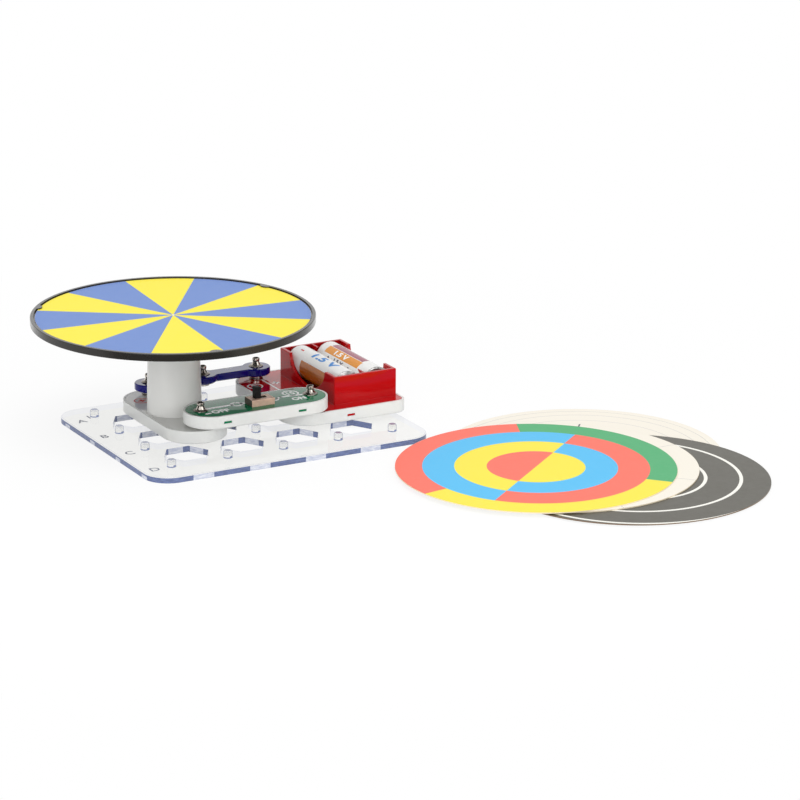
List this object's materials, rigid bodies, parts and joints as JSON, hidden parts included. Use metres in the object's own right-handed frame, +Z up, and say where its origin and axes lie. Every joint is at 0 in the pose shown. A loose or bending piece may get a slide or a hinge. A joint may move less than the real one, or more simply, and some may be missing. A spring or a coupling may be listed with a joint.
{
  "type": "newton disc",
  "caption": "Motor-driven colour mixing disc on a clear block grid, with a slide switch, a battery box, a link bar and a pile of spare pattern cards.",
  "frame": {"origin": "on the motor axis, at the underside of the base grid, which is the table's surface", "axes": "+Z up along the motor shaft, +X along the grid's rows towards the battery box, +Y towards the back row"},
  "size_m": [0.2786, 0.2886, 0.0558],
  "materials": {
    "clear_plastic": "clear polished",
    "pale_plastic": "smooth",
    "white_plastic": "smooth",
    "navy_plastic": "glossy",
    "green_plastic": "glossy",
    "red_plastic": "glossy",
    "black_plastic": "glossy",
    "white_nylon": "moulded",
    "tan_board": "matte",
    "nickel": "plated",
    "steel": "plated",
    "lamination": "dull",
    "brass": "rolled",
    "bronze": "sintered",
    "copper": "turned",
    "copper_wire": "enamelled",
    "ferrite": "matte",
    "sector_card": "printed",
    "cream_card": "printed",
    "black_card": "printed",
    "colour_card": "printed",
    "cell_sleeve": "printed"
  },
  "bodies": {
    "stand": {"base_grid": "clear_plastic", "motor_tray": "pale_plastic", "motor_housing": "pale_plastic", "motor_studs": "nickel", "motor_sockets": "nickel", "motor_strips": "brass", "motor_can": "steel", "motor_end_cap": "white_nylon", "motor_bushes": "bronze", "motor_terminals": "brass", "motor_magnets": "ferrite", "link_bar": "navy_plastic", "link_studs": "nickel", "link_sockets": "nickel", "link_strip": "brass", "switch_tray": "white_plastic", "switch_panel": "green_plastic", "switch_studs": "nickel", "switch_sockets": "nickel", "switch_strips": "brass", "switch_frame": "steel", "switch_insulator": "tan_board", "switch_pins": "brass", "battery_tray": "white_plastic", "battery_holder": "red_plastic", "battery_studs": "nickel", "battery_sockets": "nickel", "battery_strips": "brass", "battery_contacts": "nickel", "battery_springs": "nickel"},
    "rotor": {"turntable": "black_plastic", "turntable_hub": "black_plastic", "mounted_card": "sector_card", "motor_shaft": "steel", "motor_armature": "lamination", "motor_windings": "copper_wire", "motor_commutator": "copper"},
    "switch_slider": {"switch_knob": "black_plastic", "switch_bridge": "brass"},
    "left_cell": {"left_cell_can": "nickel", "left_cell_jacket": "cell_sleeve"},
    "right_cell": {"right_cell_can": "nickel", "right_cell_jacket": "cell_sleeve"},
    "rings_card": {"spare_card_rings": "cream_card"},
    "spiral_card": {"spare_card_spiral": "black_card"},
    "radial_card": {"spare_card_radial": "cream_card"},
    "colours_card": {"spare_card_colours": "colour_card"}
  },
  "joints": [
    {"name": "disc_spin", "type": "hinge", "parent": "stand", "child": "rotor", "pos_m": [0, 0, 0.0503], "axis": [0, 0, 1], "continuous": true},
    {"name": "switch_slide", "type": "slide", "parent": "stand", "child": "switch_slider", "axis": [1, 0, 0], "range_m": [0, 0.003]},
    {"name": "left_cell_lift", "type": "slide", "parent": "stand", "child": "left_cell", "axis": [0, 0, 1], "range_m": [0, 0.02]},
    {"name": "right_cell_lift", "type": "slide", "parent": "stand", "child": "right_cell", "axis": [0, 0, 1], "range_m": [0, 0.02]},
    {"name": "rings_card_lift", "type": "slide", "parent": "stand", "child": "rings_card", "axis": [0, 0, 1], "range_m": [0, 0.03]},
    {"name": "spiral_card_lift", "type": "slide", "parent": "rings_card", "child": "spiral_card", "axis": [0, 0, 1], "range_m": [0, 0.03]},
    {"name": "radial_card_lift", "type": "slide", "parent": "spiral_card", "child": "radial_card", "axis": [0, 0, 1], "range_m": [0, 0.03]},
    {"name": "colours_card_lift", "type": "slide", "parent": "radial_card", "child": "colours_card", "axis": [0, 0, 1], "range_m": [0, 0.03]}
  ]
}
